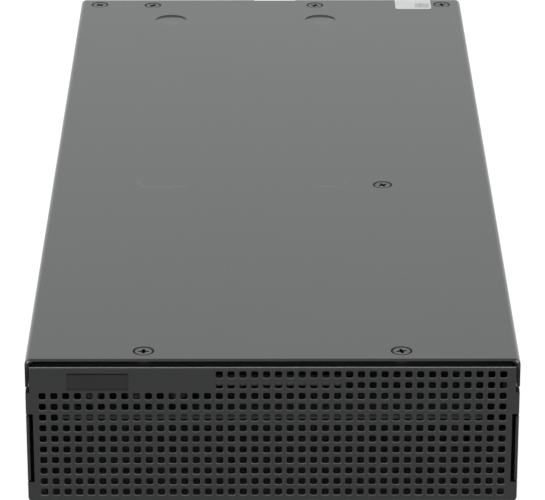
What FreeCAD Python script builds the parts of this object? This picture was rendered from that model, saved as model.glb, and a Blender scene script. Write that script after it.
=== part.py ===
import FreeCAD, Part
import math
import os
import re
import Sketcher

# Narrow 1U power shelf: folded steel case with a perforated front and one plug-in supply module.
# Millimetres. X to the right, front faces -Y, Z up, origin on the floor under the middle of the case.

SIZES = {
    # case and sheet
    "case_width": 136.3,
    "case_depth": 314.5,
    "case_height": 44.0,
    "gauge": 0.8,
    "bend_radius": 1.0,
    "skirt_depth": 8.5,
    "skirt_gap": 1.3,
    "skirt_clearance": 0.1,
    "wall_flange": 11.0,
    # front panel
    "panel_drop": 1.7,
    "panel_flange": 13.5,
    "panel_bend": 0.3,
    "panel_step": 1.1,
    "notch_depth": 1.9,
    "notch_low": 6.3,
    "notch_high": 27.2,
    "tab_gap": 0.8,
    "hole_pitch": 3.26,
    "hole_side": 2.0,
    "hole_columns": 40,
    "hole_rows": 12,
    "short_columns": 25,
    "short_rows": 2,
    "row_low": 3.26,
    "badge_left": 56.7,
    "badge_width": 17.0,
    "badge_height": 5.15,
    "badge_drop": 1.85,
    "badge_depth": 0.45,
    "badge_thick": 0.3,
    "badge_gap": 0.6,
    "lip_left": 16.3,
    "lip_width": 35.8,
    "lip_reach": 8.6,
    # cover screws and pressings
    "seat_radius": 3.0,
    "seat_land": 0.3,
    "head_radius": 2.65,
    "head_sink": 0.1,
    "thread_radius": 1.25,
    "recess_long": 2.9,
    "recess_wide": 0.8,
    "recess_deep": 1.0,
    "screw_reach": 4.6,
    "collar_radius": 2.1,
    "collar_depth": 1.6,
    "front_screw_x": 35.6,
    "front_screw_set": 5.3,
    "mid_screw_x": 34.4,
    "mid_screw_set": 131.3,
    "rear_outer_in": 6.8,
    "rear_outer_set": 5.2,
    "rear_inner_set": 5.9,
    "screw_land": 2.65,
    "pressing_radius": 5.4,
    "pressing_depth": 0.45,
    "pressing_left_x": 35.3,
    "pressing_right_x": 17.5,
    "pressing_set": 22.1,
    "finger_left": 6.0,
    "finger_width": 14.8,
    "finger_depth": 0.5,
    "sticker_x": 44.6,
    "sticker_width": 12.8,
    "sticker_depth": 10.3,
    "sticker_thick": 0.1,
    "sticker_corner": 1.2,
    # side bracket nuts
    "nut_set": 24.0,
    "nut_spread": 24.0,
    "nut_low": 11.0,
    "nut_rise": 16.0,
    "nut_bore": 1.65,
    "nut_radius": 4.0,
    "nut_depth": 2.4,
    # supply bay and module
    "bay_offset": 13.25,
    "psu_width": 50.0,
    "psu_length": 201.0,
    "psu_proud": 0.2,
    "bay_gap": 0.6,
    "floor_gap": 0.3,
    "head_gap": 0.8,
    "bay_foot": 9.0,
    "psu_board_rise": 11.1,
    "psu_board_thick": 1.6,
    "tongue_width": 34.0,
    "tongue_reach": 7.5,
    "dock_gap": 2.0,
    "fan_size": 37.6,
    "fan_depth": 20.0,
    "fan_set": 45.0,
    "fan_shift": 2.0,
    "inlet_wide": 15.8,
    "inlet_tall": 24.0,
    "inlet_depth": 16.5,
    # distribution board and rear sockets
    "board_level": 24.4,
    "board_thick": 1.0,
    "board_side": 9.5,
    "board_set": 3.0,
    "socket_width": 34.0,
    "socket_height": 12.4,
    "socket_depth": 30.0,
    "socket_side": 8.0,
    "socket_wall": 1.6,
    "pin_pitch": 4.2,
    "pin_side": 1.1,
    # latch and handle
    "latch_tall": 8.0,
    "pivot_radius": 1.5,
    "pivot_gap": 0.4,
    "handle_bar": 3.6,
    "handle_reach": 12.2,
}

doc = FreeCAD.newDocument("power_shelf")
sheet = doc.addObject("Spreadsheet::Sheet", "Dims")
for row, (name, value) in enumerate(SIZES.items(), 1):
    sheet.set("A%d" % row, name)
    sheet.set("B%d" % row, str(value))
    sheet.setAlias("B%d" % row, name)
doc.recompute()

# Places that several pieces share, as expressions of the sizes.
HALF = "(case_width / 2)"
FRONT = "(-case_depth / 2)"
REAR = "(case_depth / 2)"
UNDER = "(case_height - gauge)"
LEDGE = "(case_height - 2 * gauge)"
WALL_TOP = "(case_height - skirt_depth - skirt_gap)"
INSET = "(case_width / 2 - gauge - skirt_clearance)"
PANEL_TOP = "(case_height - gauge - panel_drop)"
BEND = "(bend_radius + gauge)"
BAY = "(-bay_offset)"
PSU_L = "(-bay_offset - psu_width / 2)"
PSU_R = "(-bay_offset + psu_width / 2)"
WALL_L = "(-bay_offset - psu_width / 2 - bay_gap)"
WALL_R = "(-bay_offset + psu_width / 2 + bay_gap)"
PSU_LOW = "(gauge + floor_gap)"
PSU_TOP = "(case_height - 2 * gauge - head_gap)"
PSU_MID = "((case_height - gauge - head_gap + floor_gap) / 2)"
PSU_REAR = "(case_depth / 2 + psu_proud)"
PSU_FRONT = "(case_depth / 2 + psu_proud - psu_length)"
DOCK = "(case_depth / 2 + psu_proud - psu_length - dock_gap)"
BOARD_TOP = "(board_level + board_thick)"
BOARD_EDGE = "(case_depth / 2 + psu_proud - psu_length - dock_gap - 8)"
TRAY_LOW = "(gauge + floor_gap + psu_board_rise)"
TRAY_TOP = "(gauge + floor_gap + psu_board_rise + psu_board_thick)"
SOCKET_R = "(case_width / 2 - socket_side)"
SOCKET_L = "(case_width / 2 - socket_side - socket_width)"
SCREW_L = "(-bay_offset - psu_width / 2 - bay_gap - gauge - screw_land)"
SCREW_R = "(-bay_offset + psu_width / 2 + bay_gap + gauge + screw_land)"
FAN_X = "(-bay_offset - fan_shift)"
PIVOT_X = "(-bay_offset + psu_width / 2 - gauge - 3.35)"
PIVOT_Y = "(case_depth / 2 + psu_proud - 39)"
GRIP_X = "(-bay_offset + 0.75)"
GRIP_Y = "(case_depth / 2 + psu_proud + 2.8)"
INLET_X = "(-bay_offset - psu_width / 2 + 11.65)"


def dims(text):
    def swap(word):
        return "Dims." + word.group(0) if word.group(0) in SIZES else word.group(0)
    return re.sub(r"[a-z][a-z_0-9]*", swap, text)


def bind(item, prop, text):
    item.setExpression(prop, dims(text))


def put(item, x, y, z):
    bind(item, "Placement.Base.x", x)
    bind(item, "Placement.Base.y", y)
    bind(item, "Placement.Base.z", z)
    return item


def block(x0, x1, y0, y1, z0, z1, name="block"):
    item = doc.addObject("Part::Box", name)
    bind(item, "Length", "%s - (%s)" % (x1, x0))
    bind(item, "Width", "%s - (%s)" % (y1, y0))
    bind(item, "Height", "%s - (%s)" % (z1, z0))
    return put(item, x0, y0, z0)


TURN = {
    "X": FreeCAD.Rotation(FreeCAD.Vector(0, 1, 0), 90),
    "Y": FreeCAD.Rotation(FreeCAD.Vector(1, 0, 0), -90),
    "Z": FreeCAD.Rotation(),
}


def rod(axis, x, y, z, radius, length, name="rod"):
    item = doc.addObject("Part::Cylinder", name)
    bind(item, "Radius", radius)
    bind(item, "Height", length)
    item.Placement = FreeCAD.Placement(FreeCAD.Vector(), TURN[axis])
    return put(item, x, y, z)


def taper(x, y, z, low_radius, high_radius, height, name="taper"):
    item = doc.addObject("Part::Cone", name)
    bind(item, "Radius1", low_radius)
    bind(item, "Radius2", high_radius)
    bind(item, "Height", height)
    return put(item, x, y, z)


def join(name, items):
    item = doc.addObject("Part::MultiFuse", name)
    item.Shapes = items
    item.Refine = True
    return item


def group(name, items):
    item = doc.addObject("Part::Compound", name)
    item.Links = items
    return item


def cut(name, base, tools):
    item = doc.addObject("Part::Cut", name)
    item.Base = base
    item.Tool = tools[0] if len(tools) == 1 else join(name + "_tools", tools)
    item.Refine = True
    return item


def plane(body, role):
    return next(feature for feature in body.Origin.OriginFeatures if feature.Role == role)


def outline(body, role, offset, points, name="outline"):
    # Closed outline; each corner is placed from the origin by two bound distances.
    sketch = body.newObject("Sketcher::SketchObject", name)
    sketch.AttachmentSupport = [(plane(body, role), "")]
    sketch.MapMode = "FlatFace"
    bind(sketch, "AttachmentOffset.Base.z", offset)
    count = len(points)
    values = [(number(u), number(v)) for u, v in points]
    for i in range(count):
        start = FreeCAD.Vector(values[i][0], values[i][1], 0)
        end = FreeCAD.Vector(values[(i + 1) % count][0], values[(i + 1) % count][1], 0)
        sketch.addGeometry(Part.LineSegment(start, end), False)
    for i in range(count):
        sketch.addConstraint(Sketcher.Constraint("Coincident", i, 2, (i + 1) % count, 1))
    for i, (u, v) in enumerate(points):
        for kind, text, value in (("DistanceX", u, values[i][0]), ("DistanceY", v, values[i][1])):
            index = sketch.addConstraint(Sketcher.Constraint(kind, -1, 1, i, 1, value))
            sketch.setExpression("Constraints[%d]" % index, dims(text))
    return sketch


def number(text):
    return float(doc.getObject("Dims").evalExpression(dims(text)))


def pad(body, sketch, length):
    feature = body.newObject("PartDesign::Pad", "pad")
    feature.Profile = sketch
    bind(feature, "Length", length)
    doc.recompute()
    return feature


def prism(name, role, offset, length, points):
    body = doc.addObject("PartDesign::Body", name)
    pad(body, outline(body, role, offset, points), length)
    return body


def rectangle(u0, u1, v0, v1):
    return [(u0, v0), (u1, v0), (u1, v1), (u0, v1)]


def folded(name, role, offset, length, points, round_edges, open_faces, bend=BEND):
    # Block with rounded bends, hollowed to one sheet thickness through its open faces.
    body = doc.addObject("PartDesign::Body", name)
    base = pad(body, outline(body, role, offset, points), length)
    bends = body.newObject("PartDesign::Fillet", "bends")
    edges = base.Shape.Edges
    bends.Base = (base, ["Edge%d" % (i + 1) for i, edge in enumerate(edges) if round_edges(edge)])
    bind(bends, "Radius", bend)
    doc.recompute()
    hollow = body.newObject("PartDesign::Thickness", "hollow")
    faces = bends.Shape.Faces
    hollow.Base = (bends, ["Face%d" % (i + 1) for i, face in enumerate(faces) if open_faces(face)])
    bind(hollow, "Value", "gauge")
    hollow.Reversed = True
    hollow.Join = "Intersection"
    doc.recompute()
    return body


def near(value, text):
    return abs(value - number(text)) < 0.01


def facing(face, axis, text):
    box = face.BoundBox
    low = {"X": box.XMin, "Y": box.YMin, "Z": box.ZMin}[axis]
    high = {"X": box.XMax, "Y": box.YMax, "Z": box.ZMax}[axis]
    return near(low, text) and near(high, text)


def along(edge, axis, first, second):
    # Straight edge along one axis, at the given two other coordinates.
    box = edge.BoundBox
    spans = {"X": (box.XLength, box.YMin, box.ZMin), "Y": (box.YLength, box.XMin, box.ZMin)}
    length, one, two = spans[axis]
    return length > 5 and near(one, first) and near(two, second)


def upright(edge):
    return edge.BoundBox.XLength < 0.01 and edge.BoundBox.YLength < 0.01


def minus(text):
    return "(-%s)" % text


def sided(side, text):
    return text if side > 0 else minus(text)


def span(side, inner, outer):
    # Range in X on the right or on the left of the middle.
    return (inner, outer) if side > 0 else (minus(outer), minus(inner))


def plus(text, amount):
    return "(%s + %s)" % (text, amount)


def less(text, amount):
    return "(%s - (%s))" % (text, amount)


SIDES = (-1, 1)

# Cover screw places: x, y and the height of the ledge that each screw is tapped into.
FRONT_SCREWS = [(sided(side, "front_screw_x"), plus(FRONT, "front_screw_set")) for side in SIDES]
MID_SCREW = ("mid_screw_x", plus(FRONT, "mid_screw_set"))
OUTER_SCREWS = [(sided(side, less(HALF, "rear_outer_in")), less(REAR, "rear_outer_set")) for side in SIDES]
INNER_SCREWS = [(SCREW_L, less(REAR, "rear_inner_set")), (SCREW_R, less(REAR, "rear_inner_set"))]
COVER_SCREWS = FRONT_SCREWS + [MID_SCREW] + OUTER_SCREWS + INNER_SCREWS


# Tip of the countersinks' cone, where it has narrowed to the thread.
SEAT_TIP = "(case_height - seat_land - seat_radius + thread_radius)"


def seat_tools(x, y):
    # Countersink through the cover sheet: a short upright rim, then the cone.
    rim = rod("Z", x, y, less("case_height", "seat_land"), "seat_radius", "2")
    cone = taper(x, y, less(UNDER, "0.2"), "seat_radius + seat_land - gauge - 0.2", "seat_radius",
                 "gauge + 0.2 - seat_land")
    return [rim, cone]


def seat_tip(x, y):
    # Lower part of the screw head's cone, from the thread up to the underside of the cover.
    return taper(x, y, SEAT_TIP, "thread_radius", "seat_radius + seat_land - gauge + 0.2",
                 "%s + 0.2 - %s" % (UNDER, SEAT_TIP))


def ledge_tools(x, y):
    # Tapped hole in a ledge under the cover, with the last of the countersink.
    bore = rod("Z", x, y, less(LEDGE, "collar_depth + 1"), "thread_radius", "gauge + collar_depth + 2")
    return [bore, seat_tip(x, y)]


def collar(x, y):
    return rod("Z", x, y, less(LEDGE, "collar_depth"), "collar_radius", "collar_depth + gauge / 2")


# Chassis tray: floor and side walls, joggled upper walls with inward flanges, forward tabs.
def chassis_tray():
    back = plus(FRONT, "gauge")
    channel = folded(
        "tray_channel", "XZ_Plane", minus(REAR), less(REAR, back),
        rectangle(minus(HALF), HALF, "0", WALL_TOP),
        lambda edge: along(edge, "Y", minus(HALF), "0") or along(edge, "Y", HALF, "0"),
        lambda face: facing(face, "Z", WALL_TOP) or facing(face, "Y", back) or facing(face, "Y", REAR),
    )
    # Front strip of the floor is joggled up over the front panel's lower flange.
    floor_gap_end = plus(FRONT, "panel_flange + 1.5")
    opening = block(less(minus(HALF), "-3"), less(HALF, "3"), FRONT, floor_gap_end, "-1", "gauge + 0.1")
    lap = plus(FRONT, "panel_flange + 0.5")
    joggle = prism(
        "tray_joggle", "YZ_Plane", plus(minus(HALF), BEND), "case_width - 2 * %s" % BEND,
        [
            (plus(FRONT, "2"), "gauge"), (lap, "gauge"), (plus(lap, "1"), "0"), (plus(lap, "3"), "0"),
            (plus(lap, "3"), "gauge"), (plus(lap, "1.4"), "gauge"), (plus(lap, "0.4"), "2 * gauge"),
            (plus(FRONT, "2"), "2 * gauge"),
        ],
    )
    pieces = [cut("tray_floor", channel, [opening]), joggle]
    for side in SIDES:
        edge = sided(side, less(HALF, "wall_flange"))
        wall = [
            (sided(side, HALF), less(WALL_TOP, "0.6")), (sided(side, HALF), WALL_TOP),
            (sided(side, INSET), plus(WALL_TOP, "gauge")), (sided(side, INSET), less(UNDER, "bend_radius")),
            (sided(side, less(INSET, "bend_radius")), UNDER), (edge, UNDER), (edge, LEDGE),
            (sided(side, less(INSET, "gauge + bend_radius / 2")), LEDGE),
            (sided(side, less(INSET, "gauge")), less(LEDGE, "bend_radius / 2")),
            (sided(side, less(INSET, "gauge")), plus(WALL_TOP, "gauge - 0.33")),
            (sided(side, less(HALF, "gauge")), less(WALL_TOP, "0.33")),
            (sided(side, less(HALF, "gauge")), less(WALL_TOP, "0.6")),
        ]
        upper = prism("tray_upper", "XZ_Plane", minus(REAR), less(REAR, plus(FRONT, "gauge + 1")), wall)
        low, high = span(side, less(HALF, "gauge"), HALF)
        tab = block(low, high, FRONT, plus(FRONT, "gauge + 1"), "notch_low + tab_gap", "notch_high - tab_gap")
        x, y = OUTER_SCREWS[SIDES.index(side)]
        pieces += [upper, tab, collar(x, y)]
    solid = join("tray_solid", pieces)
    holes = []
    for side in SIDES:
        x, y = OUTER_SCREWS[SIDES.index(side)]
        holes += ledge_tools(x, y)
        for y, z in NUT_PLACES:
            holes.append(rod("X", sided(side, HALF) + " - 3", y, z, "nut_bore", "6"))
    return cut("chassis_tray", solid, holes)


NUT_PLACES = [
    (plus(FRONT, "nut_set + %d * nut_spread" % i), "(nut_low + %d * nut_rise)" % j)
    for i in (0, 1) for j in (0, 1)
]


def bracket_nuts():
    nuts = []
    for side in SIDES:
        start = less(HALF, "gauge + nut_depth") if side > 0 else minus(less(HALF, "gauge"))
        for y, z in NUT_PLACES:
            nut = doc.addObject("Part::Prism", "nut")
            nut.Polygon = 6
            bind(nut, "Circumradius", "nut_radius")
            bind(nut, "Height", "nut_depth")
            nut.Placement = FreeCAD.Placement(FreeCAD.Vector(), TURN["X"])
            put(nut, start, y, z)
            bore = rod("X", start + " - 1", y, z, "nut_bore", "nut_depth + 2")
            nuts.append(cut("bracket_nut", nut, [bore]))
    return group("bracket_nuts", nuts)


# Front panel: folded sheet with top and bottom flanges, stepped ends, notches and square holes.
def front_panel():
    back = plus(FRONT, "panel_flange")
    body = folded(
        "panel_sheet", "YZ_Plane", minus(HALF), "case_width",
        rectangle(FRONT, back, "0", PANEL_TOP),
        lambda edge: along(edge, "X", FRONT, "0") or along(edge, "X", FRONT, PANEL_TOP),
        lambda face: facing(face, "Y", back) or facing(face, "X", HALF) or facing(face, "X", minus(HALF)),
        "(panel_bend + gauge)",
    )
    behind = plus(FRONT, "gauge")
    tools = []
    for side in SIDES:
        low, high = span(side, less(HALF, "3.2"), plus(HALF, "1"))
        tools.append(block(low, high, behind, plus(back, "1"), "-1", "gauge + 1.2"))
        low, high = span(side, less(INSET, "gauge + 0.4"), plus(HALF, "1"))
        tools.append(block(low, high, behind, plus(back, "1"), less(PANEL_TOP, "3"), plus(PANEL_TOP, "1")))
        low, high = span(side, less(HALF, "panel_step"), plus(HALF, "1"))
        tools.append(block(low, high, less(FRONT, "1"), plus(back, "1"), less(WALL_TOP, "0.5"), UNDER))
        low, high = span(side, less(HALF, "notch_depth"), plus(HALF, "1"))
        tools.append(block(low, high, less(FRONT, "1"), plus(back, "1"), "notch_low", "notch_high"))
        low, high = span(side, less(HALF, BEND), plus(HALF, "1"))
        corner = block(low, high, less(FRONT, "1"), plus(behind, "1"), "-1", BEND)
        keep = rod("Y", sided(side, less(HALF, BEND)), less(FRONT, "2"), BEND, BEND, "gauge + 4")
        tools.append(cut("panel_corner", corner, [keep]))
        x, y = FRONT_SCREWS[SIDES.index(side)]
        tools.append(rod("Z", x, y, less(PANEL_TOP, "3"), "collar_radius", "6"))
    badge_low, badge_high = BADGE_Z
    tools.append(block(BADGE_X[0], BADGE_X[1], less(FRONT, "1"), plus(FRONT, "badge_depth"), badge_low, badge_high))
    blank = cut("panel_blank", body, tools)
    doc.recompute()
    panel = doc.addObject("PartDesign::Body", "front_panel")
    panel.BaseFeature = blank
    doc.recompute()
    perforate(panel, "short_columns", "short_rows", "row_low + (hole_rows - short_rows) * hole_pitch")
    perforate(panel, "hole_columns", "hole_rows - short_rows", "row_low")
    return panel


BADGE_X = ("(-badge_left)", "(badge_width - badge_left)")
BADGE_Z = (less(PANEL_TOP, "badge_drop + badge_height"), less(PANEL_TOP, "badge_drop"))


def perforate(body, columns, rows, low):
    # One field of square holes, its right edge in line with the other field's.
    right = "((hole_columns - 1) * hole_pitch / 2 + hole_side / 2)"
    sketch = outline(
        body, "XZ_Plane", minus(FRONT) + " + 1",
        rectangle(less(right, "hole_side"), right, "%s - hole_side / 2" % low, "%s + hole_side / 2" % low),
        "hole",
    )
    hole = body.newObject("PartDesign::Pocket", "hole_pocket")
    hole.Profile = sketch
    hole.Refine = False
    bind(hole, "Length", "gauge + 2")
    doc.recompute()
    field = body.newObject("PartDesign::LinearPattern", "hole_field")
    field.Originals = [hole]
    field.Refine = False
    field.Direction = (sketch, ["H_Axis"])
    field.Direction2 = (sketch, ["V_Axis"])
    field.Mode = "Extent"
    field.Mode2 = "Extent"
    field.Reversed = True
    bind(field, "Length", "(%s - 1) * hole_pitch" % columns)
    bind(field, "Length2", "(%s - 1) * hole_pitch" % rows)
    bind(field, "Occurrences", columns)
    bind(field, "Occurrences2", rows)
    body.Tip = field
    doc.recompute()
    return field


def badge_plate():
    low, high = BADGE_Z
    return block(
        plus(BADGE_X[0], "0.1"), less(BADGE_X[1], "0.1"),
        plus(FRONT, "badge_depth - badge_thick"), plus(FRONT, "badge_depth"),
        plus(low, "0.1"), less(high, "badge_gap"), "badge_plate",
    )


# Lipped channel hung under the front panel's top flange, to stiffen it between the screws.
def stiffener():
    top = less(PANEL_TOP, "gauge")
    front = plus(FRONT, "gauge + 0.6")
    rear = plus(front, "lip_reach")
    low = less(top, "5.4")
    points = [
        (less(rear, "6"), top), (rear, top), (rear, low), (front, low), (front, plus(low, "2.9")),
        (plus(front, "gauge"), plus(low, "2.9")), (plus(front, "gauge"), plus(low, "gauge")),
        (less(rear, "gauge"), plus(low, "gauge")), (less(rear, "gauge"), less(top, "gauge")),
        (less(rear, "6"), less(top, "gauge")),
    ]
    return prism("panel_stiffener", "YZ_Plane", "-lip_left", "lip_width", points)


def front_spacers():
    spacers = []
    for x, y in FRONT_SCREWS:
        head = rod("Z", x, y, PANEL_TOP, "seat_radius", "panel_drop")
        shank = rod("Z", x, y, less(PANEL_TOP, "gauge + collar_depth"), "collar_radius", "gauge + collar_depth")
        bore = rod("Z", x, y, less(PANEL_TOP, "gauge + collar_depth + 1"), "thread_radius", "panel_drop + 6")
        spacers.append(cut("front_spacer", join("front_spacer_solid", [head, shank]), [bore, seat_tip(x, y)]))
    return group("front_spacers", spacers)


# Top cover: flat lid with side skirts, countersunk for its screws, two round pressings near the rear.
def top_cover():
    body = folded(
        "cover_sheet", "XZ_Plane", minus(REAR), "case_depth",
        rectangle(minus(HALF), HALF, plus(WALL_TOP, "skirt_gap"), "case_height"),
        lambda edge: along(edge, "Y", HALF, "case_height") or along(edge, "Y", minus(HALF), "case_height"),
        lambda face: (
            facing(face, "Z", plus(WALL_TOP, "skirt_gap")) or facing(face, "Y", FRONT) or facing(face, "Y", REAR)
        ),
    )
    pads = []
    tools = []
    for x, y in COVER_SCREWS:
        tools += seat_tools(x, y)
    # Shallow finger notch in the rear edge.
    tools.append(block("(-finger_left)", "(finger_width - finger_left)", less(REAR, "finger_depth"),
                       plus(REAR, "1"), less(UNDER, "1"), plus("case_height", "1")))
    for x in ("(-pressing_left_x)", "pressing_right_x"):
        y = less(REAR, "pressing_set")
        # Half-moon pressing: its floor falls from the surface at the front to full depth at the rear.
        half = "pressing_depth / 2"
        pads.append(tilt(rod("Z", x, y, less(UNDER, half), "pressing_radius + 0.4", half + " + 0.3")))
        tools.append(tilt(rod("Z", x, y, less("case_height", half), "pressing_radius", "2")))
    return cut("top_cover", join("cover_solid", [body] + pads), tools)


def tilt(item):
    item.Placement = FreeCAD.Placement(item.Placement.Base, FreeCAD.Rotation(FreeCAD.Vector(1, 0, 0), -2))
    bind(item, "Placement.Rotation.Angle", "-atan(pressing_depth / (2 * pressing_radius))")
    return item


def cross(x, y, top, turn, share):
    # Cross recess of a screw head, turned about the screw's axis.
    long_half = "(recess_long / 2 * %s)" % share
    wide_half = "(recess_wide / 2 * %s)" % share
    bars = []
    for along_x, along_y in ((long_half, wide_half), (wide_half, long_half)):
        bars.append(block(minus(along_x), along_x, minus(along_y), along_y, "0", "recess_deep * %s + 1" % share))
    tool = join("recess", bars)
    tool.Placement = FreeCAD.Placement(FreeCAD.Vector(), FreeCAD.Rotation(FreeCAD.Vector(0, 0, 1), turn))
    return put(tool, x, y, less(top, "recess_deep * %s" % share))


def cover_screws():
    screws = []
    for i, (x, y) in enumerate(COVER_SCREWS):
        # The cone of the head lies in the countersink of the cover, its edge clear of the rim.
        edge = "(case_height - seat_land - seat_radius + head_radius)"
        top = less("case_height", "head_sink")
        land = rod("Z", x, y, edge, "head_radius", "%s - %s" % (top, edge))
        head = taper(x, y, SEAT_TIP, "thread_radius", "head_radius", "head_radius - thread_radius")
        shank = rod("Z", x, y, less(SEAT_TIP, "screw_reach"), "thread_radius", "screw_reach")
        solid = join("screw_blank", [land, head, shank])
        screws.append(cut("cover_screw", solid, [cross(x, y, top, SCREW_TURNS[i], 1)]))
    return group("cover_screws", screws)


SCREW_TURNS = (0, 12, 30, 40, 8, 62, 70)


def rear_sticker():
    front = less(REAR, "sticker_depth + 0.3")
    right = "(sticker_x + sticker_width)"
    body = prism("rear_sticker", "XY_Plane", "case_height", "sticker_thick",
                 rectangle("sticker_x", right, front, less(REAR, "0.3")))
    film = body.Tip
    edges = film.Shape.Edges
    names = ["Edge%d" % (i + 1) for i, edge in enumerate(edges) if facing(edge, "Y", front) and upright(edge)]
    corners = body.newObject("PartDesign::Fillet", "corners")
    corners.Base = (film, names)
    bind(corners, "Radius", "sticker_corner")
    doc.recompute()
    return body


# Rear panel: folded sheet, open for the supply module and the two output sockets.
def rear_panel():
    side_edge = less(HALF, "gauge + 0.2")
    body = folded(
        "rear_sheet", "YZ_Plane", minus(side_edge), "2 * (case_width / 2 - gauge - 0.2)",
        rectangle(less(REAR, "11"), REAR, "gauge", UNDER),
        lambda edge: along(edge, "X", REAR, "gauge") or along(edge, "X", REAR, UNDER),
        lambda face: (
            facing(face, "Y", less(REAR, "11")) or facing(face, "X", side_edge) or facing(face, "X", minus(side_edge))
        ),
    )
    solid = join("rear_solid", [body] + [collar(x, y) for x, y in INNER_SCREWS])
    deep = less(REAR, "13")
    out = plus(REAR, "1")
    tools = []
    for side in SIDES:
        low, high = span(side, less(INSET, "gauge + 0.2"), HALF)
        tools.append(block(low, high, deep, out, less(WALL_TOP, "1"), plus(UNDER, "1")))
        low, high = span(side, less(HALF, "gauge + bend_radius"), HALF)
        tools.append(block(low, high, deep, out, "0", "gauge + bend_radius"))
    tools.append(block(minus(HALF), less(SCREW_L, "7"), deep, out, less(LEDGE, "0.2"), plus(UNDER, "1")))
    tools.append(block(plus(SCREW_R, "7"), HALF, deep, out, less(LEDGE, "0.2"), plus(UNDER, "1")))
    tools.append(block(WALL_L, WALL_R, deep, out, "0", less(LEDGE, "0.2")))
    tools.append(block(WALL_L, WALL_R, deep, less(REAR, "gauge"), "0", LEDGE))
    tools.append(block(less(WALL_L, "gauge + 0.3"), plus(WALL_R, "gauge + 0.3"), deep, less(REAR, "gauge"), "0",
                       "gauge + bend_radius + 1"))
    for x, y in INNER_SCREWS:
        tools += ledge_tools(x, y)
    for low, high in SOCKET_Z:
        tools.append(block(less(SOCKET_L, "0.2"), plus(SOCKET_R, "0.2"), deep, out, less(low, "0.2"), plus(high, "0.2")))
    tools.append(rod("Y", EARTH[0], deep, EARTH[1], "nut_bore", "16"))
    tools.append(rod("Y", LENS[0], deep, LENS[1], "1.5", "16"))
    for i in range(5):
        for j in range(7):
            x = "(%s + %d * hole_pitch)" % (EARTH[0], i - 2)
            z = "(%s - 6 - %d * hole_pitch)" % (LEDGE, j)
            half = "hole_side / 2"
            tools.append(block(less(x, half), plus(x, half), less(REAR, "2"), out, less(z, half), plus(z, half)))
    return cut("rear_panel", solid, tools)


EARTH = ("((-case_width / 2 - bay_offset - psu_width / 2 - bay_gap - gauge) / 2)", "8")
LENS = ("(-bay_offset + psu_width / 2 + bay_gap + gauge + 5.4)", "31")
SOCKET_Z = [
    ("(board_level - socket_height)", "board_level"),
    (BOARD_TOP, "(board_level + board_thick + socket_height)"),
]


def earth_washer():
    ring = rod("Y", EARTH[0], REAR, EARTH[1], "4.4", "0.6")
    bore = rod("Y", EARTH[0], less(REAR, "1"), EARTH[1], "nut_bore + 0.2", "3")
    return cut("earth_washer", ring, [bore])


def earth_screw():
    head = rod("Y", EARTH[0], plus(REAR, "0.6"), EARTH[1], "3.5", "2.2")
    shank = rod("Y", EARTH[0], less(REAR, "6"), EARTH[1], "nut_bore", "7")
    return join("earth_screw", [head, shank])


def status_lens():
    return rod("Y", LENS[0], less(REAR, "5"), LENS[1], "1.5", "5.6", "status_lens")


# Bay walls: one folded wall on each side of the supply module.
def bay_wall(side):
    inner = WALL_R if side > 0 else WALL_L
    outer = plus(inner, "gauge") if side > 0 else less(inner, "gauge")
    foot = plus(outer, "bay_foot") if side > 0 else less(outer, "bay_foot")
    top = less(LEDGE, "0.4")
    name = "bay_wall_right" if side > 0 else "bay_wall_left"
    profile = [
        (inner, "gauge"), (foot, "gauge"), (foot, "2 * gauge"), (outer, "2 * gauge"), (outer, top), (inner, top),
    ]
    start = plus(PSU_FRONT, "1")
    end = less(REAR, "gauge + 0.3")
    wall = prism("bay_fold", "XZ_Plane", minus(end), less(end, start), profile)
    low, high = (outer, foot) if side > 0 else (foot, outer)
    tools = [block(low, high, less(REAR, "12"), REAR, "0", "2 * gauge + 0.4")]
    if side < 0:
        return cut(name, wall, tools)
    # Catch window for the latch, and a tab folded out under the middle cover screw.
    tools.append(block(less(inner, "1"), plus(outer, "1"), plus(PIVOT_Y, "23"), plus(PIVOT_Y, "33"),
                       less(PSU_MID, "latch_tall / 2 + 0.6"), plus(PSU_MID, "latch_tall / 2 + 0.6")))
    x, y = MID_SCREW
    upright = block(inner, outer, less(y, "7.5"), plus(y, "7.5"), less(top, "0.5"), UNDER)
    tab = block(inner, plus(x, "5.5"), less(y, "7.5"), plus(y, "7.5"), LEDGE, UNDER)
    return cut(name, join("bay_right_solid", [wall, upright, tab, collar(x, y)]), tools + ledge_tools(x, y))


# Distribution board across the front, with an arm to the rear sockets on the right.
def distribution_board():
    edge = less(HALF, "board_side")
    arm = less(SOCKET_L, "2")
    points = [
        (minus(edge), plus(FRONT, "board_set")), (edge, plus(FRONT, "board_set")),
        (edge, less(REAR, "socket_depth - 12")), (arm, less(REAR, "socket_depth - 12")),
        (arm, BOARD_EDGE), (minus(edge), BOARD_EDGE),
    ]
    board = prism("board_sheet", "XY_Plane", "board_level", "board_thick", points)
    holes = [rod("Z", x, y, less("board_level", "1"), "thread_radius + 0.35", "4") for x, y in POSTS]
    return cut("distribution_board", board, holes)


POSTS = [
    (minus(less(HALF, "board_side + 5")), plus(FRONT, "board_set + 34")),
    (less(HALF, "board_side + 5"), plus(FRONT, "board_set + 34")),
    (minus(less(HALF, "board_side + 5")), less(BOARD_EDGE, "6")),
    (less(HALF, "board_side + 5"), less(BOARD_EDGE, "6")),
    (less(HALF, "board_side + 5"), less(REAR, "socket_depth + 12")),
]


def board_posts():
    posts = []
    for x, y in POSTS:
        post = doc.addObject("Part::Prism", "post")
        post.Polygon = 6
        bind(post, "Circumradius", "3.1")
        bind(post, "Height", "board_level - gauge")
        put(post, x, y, "gauge")
        bore = rod("Z", x, y, less("board_level", "7"), "thread_radius", "8")
        posts.append(cut("board_post", post, [bore]))
    return group("board_posts", posts)


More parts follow.
